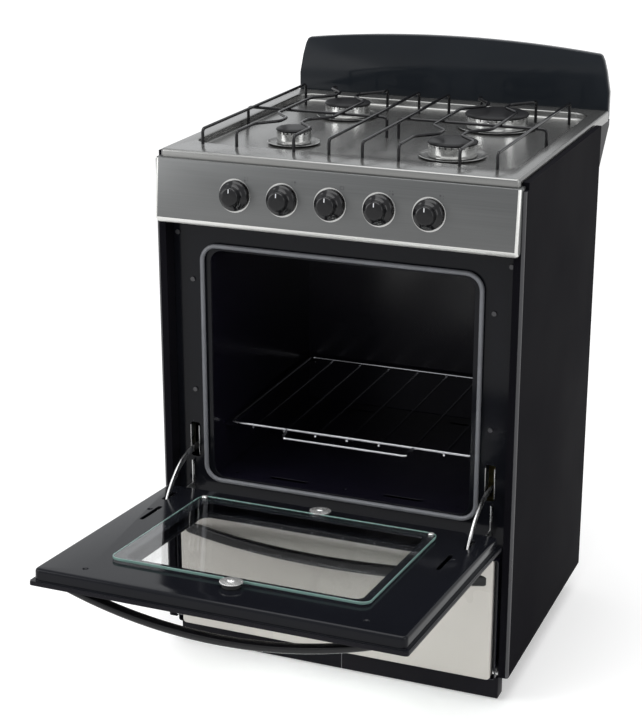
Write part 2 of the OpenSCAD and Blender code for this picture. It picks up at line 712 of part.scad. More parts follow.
module door_inner_panel() color("#101114") on_door() difference() {
    h = inner_z1 - inner_z0;
    w = door_w - 2 * inner_margin;
    union() {
        standing(door_face + 0.1, sheet) translate([0, door_z + door_h / 2])
            rounded(door_w - 1, door_h - 1, 4.5);
        standing(door_face + 0.1, door_deep - 4.1) translate([0, (inner_z0 + inner_z1) / 2]) rounded(w, h, 10);
        standing(door_face + 0.1, door_deep - 1.6) translate([0, (inner_z0 + inner_z1) / 2]) rounded(w - 3, h - 3, 9);
        standing(door_face + 0.1, door_deep - 0.1) translate([0, (inner_z0 + inner_z1) / 2]) rounded(w - 8, h - 8, 8);
    }
    standing(door_face - 1, door_deep + 1 - 1.5 - sheet) translate([0, (inner_z0 + inner_z1) / 2])
        rounded(w - 8 - 2 * sheet, h - 8 - 2 * sheet, 8 - sheet);
    standing(door_face - 1, door_deep + 3) translate([0, glass_mid]) rounded(glass_w - 30, glass_h - 30, 12);
    for (s = [-1, 1]) {
        standing(door_face - 1, door_deep + 3) translate([s * arm_x, door_z + 60]) rounded(8, 40, 3.9);
        block([s * arm_x - 4, door_face - 1, door_z - 1], [s * arm_x + 4, inner_face - 8, inner_z0 + 12]);
        standing(door_face - 1, door_deep + 3) translate([s * (arm_x - 11), door_z + 141]) rounded(7, 64, 3.4);
        for (p = [[200, 381], [234, 127]]) standing(inner_face - 1.5, 3) translate([s * p[0], door_z + p[1]]) circle(d = 9);
    }
}

module door_inner_glass() color("#9fc4bd") on_door()
    standing(inner_face + glass_up, glass_t) translate([0, glass_mid]) rounded(glass_w, glass_h, 14);

module door_outer_glass() color("#9fc4bd") on_door()
    standing(door_face - skin_t + sheet + 0.1, 3.4) translate([0, window_mid]) rounded(window_w + 30, window_h + 30, 10);

clip_d = 32;
module glass_clips() color("#cfd1d3") on_door() {
    y = inner_face;
    top = glass_up + glass_t + 0.1;
    for (s = [-1, 1]) translate([0, y, glass_mid + s * (glass_h / 2 + 11.5)]) rotate([-90, 0, 0]) {
        translate([0, 0, 0.1]) cylinder(h = top, d = 14);
        translate([0, 0, top]) cylinder(h = 1.5, d = clip_d);
        translate([0, 0, top + 1.4]) cylinder(h = 1.8, d = 10);
    }
    for (s = [-1, 1]) translate([s * (glass_w / 2 - 9), y, glass_mid - glass_h / 2 + 9]) rotate([-90, 0, 0]) {
        translate([0, 0, top]) cylinder(h = 2, d = 9);
        translate([0, 0, 0.1]) cylinder(h = glass_up - 0.2, d = 9);
    }
}

bar_t = 10;
bar_w = 18;
end_len = 34;
// A bowed handle bar between two end caps that reach the door.
module handle_shape(w, out, face) { translate([0, face, 0]) bow(w, out - bar_t / 2, bar_t, bar_w); }
module handle_bar(w, out, face, z) {
    translate([0, 0, z]) intersection() {
        handle_shape(w, out, face);
        cube([w - 2 * end_len, big, big], center = true);
    }
}
module handle_end_caps(w, out, face, z) {
    translate([0, 0, z]) difference() {
        handle_shape(w, out, face);
        cube([w - 2 * end_len + 2 * gap, big, big], center = true);
        block([-big, face - 0.1, -big], [big, big, big]);
    }
}

module door_handle() color("#0c0c0d") on_door() handle_bar(handle_w, handle_out, door_face - skin_t, handle_z);
module door_handle_ends() color("#6e7073") on_door() handle_end_caps(handle_w, handle_out, door_face - skin_t, handle_z);

arm_t = 3;
arm_r = 110.5;                                // bow of the strip that runs into the frame
arm_c = [16, -42.6];                          // its centre from the hinge axis, with the door open by 85 degrees
module arc_band(r, w, a0, a1) {
    intersection() {
        difference() {
            circle(r + w / 2, $fn = 180);
            circle(r - w / 2, $fn = 180);
        }
        polygon([[0, 0], for (a = [a0, (a0 + a1) / 2, a1]) 1.5 * r * [cos(a), sin(a)]]);
    }
}
module hinge_arm(s) {
    on_door() sideways(s * arm_x - arm_t / 2, arm_t) translate([axis_y, axis_z]) difference() {
        union() {
            circle(7);
            translate([-0.5, 0]) square([6, 42]);
            translate([-0.5, 30]) square([13, 84]);
            rotate(-85) translate(arm_c) arc_band(arm_r, 10, 78, 148);
        }
        circle(pin_d / 2 + pin_run);
    }
}
module hinge_arm_left() color("#c4c6c8") hinge_arm(-1);
module hinge_arm_right() color("#c4c6c8") hinge_arm(1);

module hinge_brackets() color("#b5b7b9") in_body() both_sides() {
    for (x = [arm_x - slot_w / 2 + gap, arm_x + slot_w / 2 - gap - sheet])
        block([x, frame_y - 2.5, slot_z0 + 4.2], [x + sheet, frame_y + 14, slot_z1 - 4.2]);
    difference() {
    sideways(arm_x + 3, 2) difference() {
        translate([axis_y, axis_z]) {
            translate([-6, -8]) square([6 + frame_y - 0.1 - axis_y, 17]);
            translate([18.9, -8]) square([frame_y - 0.1 - axis_y - 18.9, 54]);
        }
        translate([axis_y + 21.6, axis_z + 20]) square([1.6, 18]);
    }
    translate([arm_x, axis_y, axis_z]) rotate([0, 90, 0]) cylinder(h = 20, r = pin_d / 2 + pin_run, center = true);
    }
}

module hinge_pins() color("#c4c6c8") in_body() both_sides() {
    translate([arm_x - 3, axis_y, axis_z]) rotate([0, 90, 0]) cylinder(h = 9, d = pin_d);
    translate([lower_w / 2 - 6, lower_axis_y, lower_axis_z]) rotate([0, 90, 0])
        cylinder(h = inner_x - 0.1 - lower_w / 2 + 6, d = pin_d);
}

// Lower compartment

module lower_door_panel() color("#d9d8d4") in_body() difference() {
    standing(lower_face, lower_deep - 2) translate([0, lower_z + lower_h / 2]) rounded(lower_w, lower_h, 6);
    standing(lower_face + sheet, lower_deep) translate([0, lower_z + lower_h / 2])
        rounded(lower_w - 2 * sheet, lower_h - 2 * sheet, 6 - sheet);
    lower_bores();
}

module lower_bores() {
    both_sides() translate([lower_w / 2, lower_axis_y, lower_axis_z]) rotate([0, 90, 0])
        cylinder(h = 30, r = pin_d / 2 + pin_run, center = true);
}

module lower_door_liner() color("#1a1b1d") in_body() {
    w = lower_w - 2 * sheet - 2 * gap;
    h = lower_h - 2 * sheet - 2 * gap;
    difference() {
        standing(lower_face + sheet + 0.2, lower_deep - sheet - 0.2)
            translate([0, lower_z + lower_h / 2]) rounded(w, h, 4);
        standing(lower_face, lower_deep - sheet) translate([0, lower_z + lower_h / 2]) rounded(w - 2 * sheet, h - 2 * sheet, 4 - sheet);
        lower_bores();
    }
}

module lower_door_handle() color("#0c0c0d") in_body() handle_bar(lower_handle_w, handle_out, lower_face, lower_handle_z);
module lower_handle_ends() color("#6e7073") in_body() handle_end_caps(lower_handle_w, handle_out, lower_face, lower_handle_z);

module storage_liner() color("#2c2d30") in_body() {
    w = lower_w - 24;
    difference() {
        block([-w / 2 - sheet, frame_y + sheet + gap, storage_z0 - sheet],
              [w / 2 + sheet, body_d - sheet - 6, storage_z1 + sheet]);
        block([-w / 2, 0, storage_z0], [w / 2, body_d - 2 * sheet - 6, storage_z1]);
    }
}

module screw_head(x, y, z) { translate([x, y, z]) rotate([90, 0, 0]) cylinder(h = 2.2, d = 7); }
module frame_screws() color("#b9bbbd") in_body() both_sides() {
    for (z = [mouth_z + 140, mouth_z + 315]) screw_head(inner_x - 31, frame_y - 0.1, z);
    screw_head(inner_x - 8, frame_y - 0.1, panel_z - 22);
}

side_panel_left();
side_panel_right();
back_panel();
base_plate();
front_frame();
plinth_left();
plinth_right();
feet();
hob_top();
control_panel();
backguard();
rear_duct();
oven_liner();
oven_floor_plate();
oven_burner();
oven_rack();
rack_rails();
door_gasket();
insulation();
oven_flue();
door_inner_panel();
door_outer_panel();
door_inner_glass();
door_outer_glass();
glass_clips();
door_handle();
door_handle_ends();
hinge_arm_left();
hinge_arm_right();
hinge_brackets();
hinge_pins();
lower_door_panel();
lower_door_liner();
lower_door_handle();
lower_handle_ends();
storage_liner();
knob_1();
knob_2();
knob_3();
knob_4();
knob_5();
valve_stem_1();
valve_stem_2();
valve_stem_3();
valve_stem_4();
valve_stem_5();
knob_bezels();
gas_valves();
gas_manifold();
gas_tubes();
burner_cups();
burner_crowns();
burner_cap_front_left();
burner_cap_front_right();
burner_cap_rear_left();
burner_cap_rear_right();
burner_saucers();
grate_left();
grate_right();
frame_screws();
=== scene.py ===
# %% [markdown]
# # A free-standing gas cooker
# The cooker arrives as a frame of sixty exact solids, each riding on the body that moves it. This lesson leaves
# every solid where it is, gives each one the finish of the real piece, and models anew the few pieces whose
# softness a plain solid can't show: the hob's folded edges, the pressed oven door, the bent wires and the knobs.

# %% Load the frame
import math

import bmesh
import bpy
from mathutils import Matrix, Vector


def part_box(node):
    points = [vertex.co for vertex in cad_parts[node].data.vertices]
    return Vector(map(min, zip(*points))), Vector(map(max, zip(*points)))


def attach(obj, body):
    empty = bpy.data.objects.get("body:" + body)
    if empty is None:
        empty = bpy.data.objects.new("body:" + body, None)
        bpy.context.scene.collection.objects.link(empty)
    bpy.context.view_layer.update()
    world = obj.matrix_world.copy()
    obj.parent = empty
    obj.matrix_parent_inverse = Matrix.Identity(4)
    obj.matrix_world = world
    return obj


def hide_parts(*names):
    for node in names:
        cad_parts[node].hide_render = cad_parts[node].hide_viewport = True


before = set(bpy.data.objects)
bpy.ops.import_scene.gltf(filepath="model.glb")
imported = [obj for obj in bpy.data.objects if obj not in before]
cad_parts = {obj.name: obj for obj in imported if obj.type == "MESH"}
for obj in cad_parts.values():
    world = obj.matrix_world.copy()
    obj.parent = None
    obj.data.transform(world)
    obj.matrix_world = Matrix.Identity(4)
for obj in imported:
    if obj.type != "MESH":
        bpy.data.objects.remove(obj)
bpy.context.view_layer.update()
scene = bpy.context.scene

# %% [markdown]
# ## Camera
# A long lens from the right and a little above shows the hob, the open oven and the right side at once. Its place
# and turn are set as numbers, because they are the viewing angle that the whole lesson is judged from.

# %% Camera
camera_data = bpy.data.cameras.new("viewer")
camera = bpy.data.objects.new("viewer", camera_data)
scene.collection.objects.link(camera)
camera.location = (0.8871, -2.3138, 1.3451)
camera.rotation_euler = (math.radians(90 - 18.98), 0, math.radians(21.86))
camera_data.sensor_fit = "HORIZONTAL"
camera_data.sensor_width = 36
camera_data.lens = 98.93
scene.camera = camera
scene.view_settings.view_transform = "Standard"
print("lens", round(camera_data.lens, 2))

# %% [markdown]
# ## Floor, sky and lamps
# A studio sweep is white because its paper is evenly lit. The floor here is a pale matt sheet that also glows a
# little for the camera, for mirrors and for glass, so it reads as white and still keeps the cooker's shadow. Large
# soft lamps stand in for the studio's boxes: their size decides how soft the shadow and the highlights are.

# %% Node helpers
def new_material(name):
    """An empty node material: its tree, its Principled shader and its output."""
    m = bpy.data.materials.new(name)
    m.use_nodes = True
    tree = m.node_tree
    tree.nodes.clear()
    out = tree.nodes.new("ShaderNodeOutputMaterial")
    shader = tree.nodes.new("ShaderNodeBsdfPrincipled")
    tree.links.new(shader.outputs[0], out.inputs[0])
    return m, tree, shader


def add(tree, kind, **values):
    """A node of one kind, with its properties and its named or numbered sockets set."""
    node = tree.nodes.new("ShaderNode" + kind)
    for key, value in values.items():
        if hasattr(node, key):
            setattr(node, key, value)
        else:
            node.inputs[key.replace("_", " ")].default_value = value
    return node


def seen_ray(tree):
    """1 for rays that show the background: camera, mirror and glass rays."""
    path = add(tree, "LightPath")
    a = add(tree, "Math", operation="MAXIMUM")
    b = add(tree, "Math", operation="MAXIMUM")
    tree.links.new(path.outputs["Is Camera Ray"], a.inputs[0])
    tree.links.new(path.outputs["Is Glossy Ray"], a.inputs[1])
    tree.links.new(a.outputs[0], b.inputs[0])
    tree.links.new(path.outputs["Is Transmission Ray"], b.inputs[1])
    return b.outputs[0]


print("helpers ready")

# %% Floor
bpy.ops.object.select_all(action="DESELECT")
bpy.ops.mesh.primitive_plane_add(size=60, location=(0, 0, 0))
floor = bpy.context.object
floor.name = "floor"
paper, tree, shader = new_material("white_paper")
shader.inputs["Base Color"].default_value = (0.86, 0.86, 0.86, 1)
shader.inputs["Roughness"].default_value = 0.9
shader.inputs["Specular IOR Level"].default_value = 0.0
glow = add(tree, "Math", operation="MULTIPLY")
tree.links.new(seen_ray(tree), glow.inputs[0])
where = add(tree, "TexCoord")
away = add(tree, "VectorMath", operation="LENGTH")
rise = add(tree, "MapRange")
for key, value in (("From Min", 1.4), ("From Max", 6.0), ("To Min", 0.30), ("To Max", 0.78)):
    rise.inputs[key].default_value = value
tree.links.new(where.outputs["Object"], away.inputs[0])
tree.links.new(away.outputs["Value"], rise.inputs["Value"])
tree.links.new(rise.outputs[0], glow.inputs[1])
shader.inputs["Emission Color"].default_value = (1, 1, 1, 1)
tree.links.new(glow.outputs[0], shader.inputs["Emission Strength"])
floor.data.materials.append(paper)
print("floor made")

# %% World
world = bpy.data.worlds.new("studio")
scene.world = world
world.use_nodes = True
tree = world.node_tree
tree.nodes.clear()
sky_out = tree.nodes.new("ShaderNodeOutputWorld")
sky = add(tree, "Background")
seen = add(tree, "Background")
mix = add(tree, "MixShader")
sky.inputs["Color"].default_value = (1, 1, 1, 1)
sky.inputs["Strength"].default_value = 0.45
seen.inputs["Color"].default_value = (0.97, 0.985, 1.0, 1)
seen.inputs["Strength"].default_value = 0.9
tree.links.new(seen_ray(tree), mix.inputs[0])
tree.links.new(sky.outputs[0], mix.inputs[1])
tree.links.new(seen.outputs[0], mix.inputs[2])
tree.links.new(mix.outputs[0], sky_out.inputs[0])
print("world made")

# %% Lamps
def soft_lamp(name, place, aim, size, power, size_y=None):
    """A rectangular studio lamp that points at one spot."""
    data = bpy.data.lights.new(name, "AREA")
    data.shape = "RECTANGLE"
    data.size = size
    data.size_y = size_y or size
    data.energy = power
    lamp = bpy.data.objects.new(name, data)
    scene.collection.objects.link(lamp)
    lamp.location = place
    lamp.rotation_euler = (Vector(aim) - Vector(place)).to_track_quat("-Z", "Y").to_euler()


soft_lamp("top_box", (0.0, -0.2, 3.2), (0, 0, 0.4), 2.6, 75)
soft_lamp("left_box", (-2.6, -1.8, 2.0), (0, 0, 0.5), 1.6, 45, 2.2)
soft_lamp("right_box", (2.8, -1.0, 1.8), (0, 0, 0.5), 1.4, 22, 2.0)
soft_lamp("low_left", (-2.9, -3.0, 1.1), (-0.2, 0, 0.7), 1.3, 9, 1.6)

# %% [markdown]
# ## Finishes
# Every finish is a small network: a colour, a roughness that wanders a little as a real surface's does, and a fine
# bump. All patterns read Object coordinates, so they stay with the piece when it moves.

# %% Finish maker
def finish(name, colour, rough, metal=0.0, spread=0.05, scale=(6, 6, 6), bump=0.0, bump_scale=400.0,
           shade=0.08, specular=0.5, edge=0.0, detail=3.0, **sockets):
    """A finish with wandering roughness, a slight change of shade and a fine bump."""
    m, tree, shader = new_material(name)
    link = tree.links.new
    where = add(tree, "TexCoord")
    stretch = add(tree, "Mapping")
    stretch.inputs["Scale"].default_value = scale
    link(where.outputs["Object"], stretch.inputs[0])
    cloud = add(tree, "TexNoise")
    cloud.inputs["Scale"].default_value = 1.0
    cloud.inputs["Detail"].default_value = detail
    link(stretch.outputs[0], cloud.inputs["Vector"])
    to_rough = add(tree, "MapRange")
    to_rough.inputs["From Min"].default_value = 0.3
    to_rough.inputs["From Max"].default_value = 0.7
    to_rough.inputs["To Min"].default_value = max(0.0, rough - spread)
    to_rough.inputs["To Max"].default_value = rough + spread
    link(cloud.outputs[0], to_rough.inputs["Value"])
    link(to_rough.outputs[0], shader.inputs["Roughness"])
    ramp = add(tree, "ValToRGB")
    ramp.color_ramp.elements[0].position = 0.3
    ramp.color_ramp.elements[1].position = 0.7
    ramp.color_ramp.elements[0].color = (*[c * (1 - shade) for c in colour], 1)
    ramp.color_ramp.elements[1].color = (*[min(1, c * (1 + shade)) for c in colour], 1)
    link(cloud.outputs[0], ramp.inputs[0])
    link(ramp.outputs[0], shader.inputs["Base Color"])
    shader.inputs["Metallic"].default_value = metal
    shader.inputs["Specular IOR Level"].default_value = specular
    normal = None
    if bump:
        grain = add(tree, "TexNoise")
        grain.inputs["Scale"].default_value = bump_scale
        grain.inputs["Detail"].default_value = 2.0
        link(where.outputs["Object"], grain.inputs["Vector"])
        relief = add(tree, "Bump")
        relief.inputs["Strength"].default_value = bump
        relief.inputs["Distance"].default_value = 0.0005
        link(grain.outputs[0], relief.inputs["Height"])
        normal = relief
    if edge:
        round_edge = add(tree, "Bevel", samples=4)
        round_edge.inputs["Radius"].default_value = edge
        if normal:
            link(round_edge.outputs[0], normal.inputs["Normal"])
        else:
            normal = round_edge
    if normal:
        link(normal.outputs[0], shader.inputs["Normal"])
    for key, value in sockets.items():
        shader.inputs[key.replace("_", " ")].default_value = value
    return m


print("finish maker ready")

# %% [markdown]
# ### Enamel
# The body's sheet is fired with black glass enamel: very dark, glossy, with the faint waviness called orange peel.

# %% Enamel finishes
black_enamel = finish("black_enamel", (0.013, 0.0125, 0.0155), 0.34, spread=0.05, bump=0.05, bump_scale=220,
                      specular=0.05, edge=0.0012)
# Painted shade: a darker, almost unreflecting copy of the black enamel for the side panels.
shaded_side_enamel = finish("shaded_side_enamel", (0.0062, 0.0060, 0.0078), 0.40, spread=0.05, bump=0.05, bump_scale=220,
                     specular=0.002)
# The frame screws' own dark enamel; on the side panels' front folds it is a painted highlight, lighter and glossier.
screw_black_and_fold_highlight = finish("screw_black_and_fold_highlight", (0.03, 0.03, 0.034), 0.30, spread=0.05, specular=0.5)
guard_enamel = finish("guard_enamel", (0.011, 0.0135, 0.017), 0.12, spread=0.03, bump=0.03, bump_scale=160,
                      specular=0.13, edge=0.0015)
frame_enamel = finish("frame_enamel", (0.0065, 0.007, 0.0095), 0.13, spread=0.03, bump=0.04, bump_scale=160,
                      specular=0.12, edge=0.0008)
oven_enamel = finish("oven_enamel", (0.005, 0.0045, 0.009), 0.22, spread=0.06, bump=0.12, bump_scale=500,
                     specular=0.30, edge=0.001)
pale_enamel = finish("pale_enamel", (0.62, 0.59, 0.55), 0.30, spread=0.05, shade=0.03, bump=0.03,
                     bump_scale=300, edge=0.0015)
cap_enamel = finish("cap_enamel", (0.012, 0.012, 0.013), 0.36, spread=0.06, bump=0.06, bump_scale=500,
                    specular=0.10, edge=0.0012)
wire_enamel = finish("wire_enamel", (0.007, 0.007, 0.008), 0.14, spread=0.04, bump=0.03, bump_scale=600,
                     specular=0.24)
print("enamels made")

# %% [markdown]
# ### Metals
# Brushed steel is a mirror with thousands of fine scratches in one direction. Noise squeezed across the brushing
# and stretched along it gives the streaks. Chrome is the same mirror without the scratches.

# %% Metal finishes
brushed_steel = finish("brushed_steel", (0.122, 0.124, 0.124), 0.36, metal=1.0, spread=0.05, scale=(3, 900,
                       900), shade=0.06, detail=5, edge=0.0015)
# Painted light: a second tone of the hob's steel for its rims and slopes, set to the light those faces show.
rim_painted_light = finish("rim_painted_light", (0.21, 0.21, 0.205), 0.30, metal=1.0, spread=0.05, scale=(3, 700, 700),
                   shade=0.05, detail=5)
# Painted highlight: this much lighter steel on the panel's rolled lower edge stands for the light the roll catches.
painted_roll_highlight = finish("painted_roll_highlight", (0.68, 0.68, 0.66), 0.36, metal=0.5, spread=0.05, scale=(3, 700, 700),
                      shade=0.05, detail=5)
hob_steel = finish("hob_steel", (0.235, 0.235, 0.231), 0.25, metal=0.85, spread=0.01, scale=(160, 2, 160),
                   shade=0.01, detail=5)
# The knob bezels' own bright metal; on the saucers' raised lip the same metal is a painted highlight.
bezel_metal_and_lip_highlight = finish("bezel_metal_and_lip_highlight", (0.50, 0.50, 0.49), 0.22, metal=1.0, spread=0.05, scale=(60, 60, 60), shade=0.05)
rack_chrome = finish("rack_chrome", (0.46, 0.46, 0.48), 0.16, metal=1.0, spread=0.05, scale=(30, 30, 30), shade=0.05)
chrome = finish("chrome", (0.72, 0.73, 0.75), 0.10, metal=1.0, spread=0.04, scale=(30, 30, 30), shade=0.03)
clip_zinc = finish("clip_zinc", (0.80, 0.80, 0.79), 0.24, metal=0.75, spread=0.06, scale=(90, 90, 90), shade=0.06)
zinc_plate = finish("zinc_plate", (0.50, 0.50, 0.50), 0.30, metal=1.0, spread=0.1, scale=(60, 60, 60),
                    shade=0.12, edge=0.0006)
cast_aluminium = finish("cast_aluminium", (0.66, 0.66, 0.65), 0.17, metal=1.0, spread=0.04, scale=(80, 80, 80),
                        shade=0.06, edge=0.0006)
grey_steel = finish("grey_steel", (0.22, 0.22, 0.23), 0.45, metal=0.8, spread=0.1, scale=(20, 20, 20),
                    shade=0.12, edge=0.0008)
valve_brass = finish("valve_brass", (0.60, 0.45, 0.20), 0.30, metal=1.0, spread=0.08, scale=(60, 60, 60),
                     shade=0.1, edge=0.0006)
print("metals made")

# %% [markdown]
# ### Plastic, rubber, wool and glass
# Handles and knobs are moulded plastic, the door's seal is a grey rubber tube, and the wool behind the oven is a
# yellow felt. Glass takes its colour only at its edges, where light has gone through more of it.

# %% Plastic, rubber, wool and glass finishes
black_plastic = finish("black_plastic", (0.008, 0.008, 0.009), 0.13, spread=0.03, bump=0.02, bump_scale=800,
                       specular=0.26, edge=0.0008)
grey_plastic = finish("grey_plastic", (0.10, 0.10, 0.105), 0.40, spread=0.06, bump=0.1, bump_scale=900, edge=0.0012)
seal_rubber = finish("seal_rubber", (0.145, 0.15, 0.165), 0.36, spread=0.06, shade=0.1, scale=(40, 40, 40),
                     bump=0.4, bump_scale=1200)
# The feet's own black rubber; under the glass clips the same black is partly painted shade.
foot_rubber = finish("foot_rubber", (0.02, 0.02, 0.02), 0.7, bump=0.3, bump_scale=500)
wool = finish("mineral_wool", (0.55, 0.45, 0.16), 0.95, shade=0.3, scale=(90, 90, 90), bump=0.9, bump_scale=350)
door_glass = finish("door_glass", (0.995, 1.0, 0.998), 0.005, spread=0.002, shade=0.003,
                    Transmission_Weight=1.0, IOR=1.33)
tree = door_glass.node_tree
clear = add(tree, "BsdfTransparent")
clear.inputs["Color"].default_value = (0.97, 1.0, 0.985, 1)
choose = add(tree, "MixShader")
tree.links.new(add(tree, "LightPath").outputs["Is Shadow Ray"], choose.inputs[0])
tree.links.new(tree.nodes["Principled BSDF"].outputs[0], choose.inputs[1])
tree.links.new(clear.outputs[0], choose.inputs[2])
tree.links.new(choose.outputs[0], tree.nodes["Material Output"].inputs[0])
print("materials", len(bpy.data.materials))

# %% [markdown]
# ## Dressing the frame
# Each solid keeps its shape and gets its finish by name.

# %% Dress the nodes
FINISHES = {
    black_enamel: ["side_panel_left", "side_panel_right", "plinth_left", "plinth_right", "rear_duct",
                   "door_outer_panel"],
    guard_enamel: ["backguard"],
    frame_enamel: ["front_frame", "door_inner_panel"],
    oven_enamel: ["oven_liner", "oven_floor_plate", "rack_rails", "lower_door_liner", "storage_liner"],
    pale_enamel: ["lower_door_panel"],
    cap_enamel: ["burner_cap_front_left", "burner_cap_front_right", "burner_cap_rear_left", "burner_cap_rear_right"],
    wire_enamel: ["grate_left", "grate_right"],
    brushed_steel: ["control_panel"],
    hob_steel: ["hob_top"],
    chrome: ["oven_rack", "glass_clips", "burner_saucers"],
    bezel_metal_and_lip_highlight: ["knob_bezels"],
    zinc_plate: ["hinge_arm_left", "hinge_arm_right", "hinge_brackets", "hinge_pins"],
    screw_black_and_fold_highlight: ["frame_screws"],
    cast_aluminium: ["burner_crowns", "gas_tubes"],
    grey_steel: ["back_panel", "base_plate", "oven_flue", "oven_burner", "burner_cups", "gas_manifold"],
    valve_brass: ["gas_valves"] + [f"valve_stem_{i}" for i in range(1, 6)],
    black_plastic: [f"knob_{i}" for i in range(1, 6)] + ["door_handle", "lower_door_handle"],
    grey_plastic: ["door_handle_ends", "lower_handle_ends"],
    seal_rubber: ["door_gasket"],
    foot_rubber: ["feet"],
    wool: ["insulation"],
    door_glass: ["door_inner_glass", "door_outer_glass"],
}
for material, names in FINISHES.items():
    for name in names:
        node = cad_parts[name]
        if not node.material_slots:
            node.data.materials.append(material)
        for s in node.material_slots:
            s.link = "OBJECT"
            s.material = material
left = set(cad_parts) - {n for names in FINISHES.values() for n in names}
print("dressed", sum(len(n) for n in FINISHES.values()), "left", sorted(left))

# %% [markdown]
# ## Places
# Measures below are in millimetres from the cooker's own corner: x from the middle, y back from the side panels'
# front edge, z up from the floor. The front edge is read from the frame, so the pieces land on their solids. The
# measures that several pieces share are named here, and the rest beside the piece that they shape.

# %% Places and selection
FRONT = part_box("side_panel_right")[0][1]
HINGE = Vector((0, FRONT - 0.0009, 0.2653))
OPEN = math.radians(85)
SIDE_X, SIDE_DEPTH, SIDE_LOW = 280, 431, 46
FOLD_X, FOLD_TOP, BODY_TOP = 265.2, 795.8, 786
BURNER_X, BURNER_FRONT, BURNER_REAR = 125, 157, 382
HOB_Z, PAN_Z = 802, 790


def spot(x, y, z):
    """A point in metres from the cooker's own millimetres."""
    return Vector((x / 1000, FRONT + y / 1000, z / 1000))


def near(a, b):
    """True where two measures agree to a hundredth of a millimetre."""
    return abs(a - b) < 1e-5


def start():
    """Back to object mode with nothing selected."""
    if bpy.context.object and bpy.context.object.mode != "OBJECT":
        bpy.ops.object.mode_set(mode="OBJECT")
    bpy.ops.object.select_all(action="DESELECT")


def pick(obj, kind, test):
    """Enters edit mode and selects the vertices, edges or faces whose points (and normal) pass a test."""
    start()
    bpy.context.view_layer.objects.active = obj
    obj.select_set(True)
    bpy.ops.object.mode_set(mode="EDIT")
    bpy.ops.mesh.select_mode(type=kind)
    bpy.ops.mesh.select_all(action="DESELECT")
    bm = bmesh.from_edit_mesh(obj.data)
    parts = {"VERT": bm.verts, "EDGE": bm.edges, "FACE": bm.faces}[kind]
    for part in parts:
        points = [part.co] if kind == "VERT" else [v.co for v in part.verts]
        if test(points, part.normal if kind == "FACE" else None):
            part.select_set(True)
    bm.select_flush_mode()
    bmesh.update_edit_mesh(obj.data)


def modify(obj, kind, **values):
    """Adds one modifier and applies it."""
    start()
    bpy.context.view_layer.objects.active = obj
    obj.select_set(True)
    m = obj.modifiers.new(kind.lower(), kind)
    for key, value in values.items():
        setattr(m, key, value)
    bpy.ops.object.modifier_apply(modifier=m.name)


def cut(obj, *tools):
    """Cuts tools out of a piece with Boolean modifiers, and throws the tools away."""
    for tool in tools:
        modify(obj, "BOOLEAN", operation="DIFFERENCE", solver="EXACT", object=tool)
        bpy.data.objects.remove(tool)


def join(obj, *others):
    """Joins finished shells into one piece."""
    start()
    for o in (obj, *others):
        o.select_set(True)
    bpy.context.view_layer.objects.active = obj
    bpy.ops.object.join()
    start()
    return obj


def smooth(obj, angle=35):
    """Smooth shading that keeps edges sharper than the angle."""
    start()
    bpy.context.view_layer.objects.active = obj
    obj.select_set(True)
    bpy.ops.object.shade_smooth_by_angle(angle=math.radians(angle))
    start()


def done(obj, name, material, body, *nodes):
    """Names a finished piece, gives it its finish and its body, and lets it stand for its solids."""
    start()
    obj.name = obj.data.name = name
    obj.data.materials.clear()
    obj.data.materials.append(material)
    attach(obj, body)
    if nodes:
        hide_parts(*nodes)
    print(name, len(obj.data.polygons), "faces")


def second_finish(obj, material, test):
    """Gives the faces whose normal and centre pass a test a second finish."""
    obj.data.materials.append(material)
    for polygon in obj.data.polygons:
        if test(polygon.normal, polygon.center):
            polygon.material_index = 1


def swing_open(obj):
    """Turns a piece modelled on the closed door to the door's open place."""
    obj.data.transform(Matrix.Translation(HINGE) @ Matrix.Rotation(OPEN, 4, "X") @ Matrix.Translation(-HINGE))
    obj.data.update()


print("front edge at", round(FRONT, 4))

# %% [markdown]
# ## Blocks with soft edges
# Pressed sheet never has a sharp edge. A cube is set to size, its four long edges along one axis are bevelled to the
# corner radius, and then the rim of an end face gets a second, smaller bevel, which is the press's own radius.

# %% Soft block
def plain_block(lo, hi):
    """A cube set to two opposite corners."""
    start()
    lo, hi = Vector(lo), Vector(hi)
    bpy.ops.mesh.primitive_cube_add(size=1, location=(lo + hi) / 2)
    obj = bpy.context.object
    obj.scale = hi - lo
    bpy.ops.object.transform_apply(location=True, rotation=True, scale=True)
    return obj


def soft_block(lo, hi, axis, corner, lip=0.0, steps=6, lip_steps=3, ends="high"):
    """A block with corners rounded about one axis, and the rim of its low or high end (or both) softened."""
    obj = plain_block(lo, hi)
    pick(obj, "EDGE", lambda p, n: near(abs(p[0][axis] - p[1][axis]), hi[axis] - lo[axis]))
    bpy.ops.mesh.bevel(offset=corner, segments=steps, affect="EDGES")
    if lip:
        levels = {"high": [hi[axis]], "low": [lo[axis]], "both": [lo[axis], hi[axis]]}[ends]
        pick(obj, "EDGE", lambda p, n: any(near(p[0][axis], e) and near(p[1][axis], e) for e in levels))
        bpy.ops.mesh.bevel(offset=lip, segments=lip_steps, affect="EDGES")
    start()
    return obj


def sheet_shell(obj, test, thick=0.0012):
    """Opens a block by deleting the faces that pass a test, and gives what is left a sheet's thickness inwards."""
    pick(obj, "FACE", test)
    bpy.ops.mesh.delete(type="FACE")
    modify(obj, "SOLIDIFY", thickness=thick, offset=-1.0)


def drill(place, radius, length):
    """An upright cylinder for cutting a round hole, centred on a place."""
    start()
    bpy.ops.mesh.primitive_cylinder_add(vertices=48, radius=radius, depth=length, location=place)
    bpy.ops.object.transform_apply(location=True, rotation=True, scale=True)
    return bpy.context.object


print("soft blocks ready")

